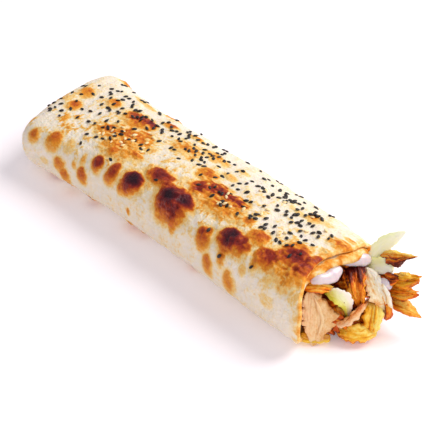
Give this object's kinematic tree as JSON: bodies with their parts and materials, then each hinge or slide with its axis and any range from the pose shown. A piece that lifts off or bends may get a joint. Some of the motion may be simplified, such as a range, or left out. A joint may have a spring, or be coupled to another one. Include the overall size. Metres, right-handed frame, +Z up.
{
  "type": "chicken flatbread wrap",
  "caption": "Rolled flatbread wrap lying on its side, one end tucked shut, the other open with chicken strips, cabbage, lettuce and white sauce showing; blistered, seeded crust.",
  "frame": {"origin": "on the surface it lies on, under the middle of the whole wrap", "axes": "+X along the roll towards the open mouth, +Z up, +Y towards the side with the seam"},
  "size_m": [0.2858, 0.0819, 0.051],
  "materials": {
    "flatbread": "matte baked dough, cream with golden to dark brown blisters",
    "chicken": "moist roasted meat, golden brown with pale cut faces",
    "greens": "moist, slightly see-through pale green leaf",
    "sauce": "smooth glossy white sauce"
  },
  "bodies": {
    "root": {"flatbread": "flatbread", "filling_core": "chicken", "chicken_slice_front": "chicken", "chicken_slice_centre": "chicken", "chicken_slice_pale": "chicken", "chicken_strip_front": "chicken", "chicken_curl_low": "chicken", "chicken_chunk_low": "chicken", "chicken_chunk_side": "chicken", "chicken_strip_top": "chicken", "chicken_strip_brown": "chicken", "chicken_strip_forked": "chicken", "chicken_strip_middle": "chicken", "chicken_strip_low": "chicken", "chicken_skin_strip": "chicken", "cabbage_leaf_centre": "greens", "cabbage_leaf_low": "greens", "cabbage_block_top": "greens", "lettuce_shard_top": "greens", "sauce_front": "sauce", "sauce_back": "sauce", "sauce_side": "sauce"}
  },
  "joints": []
}
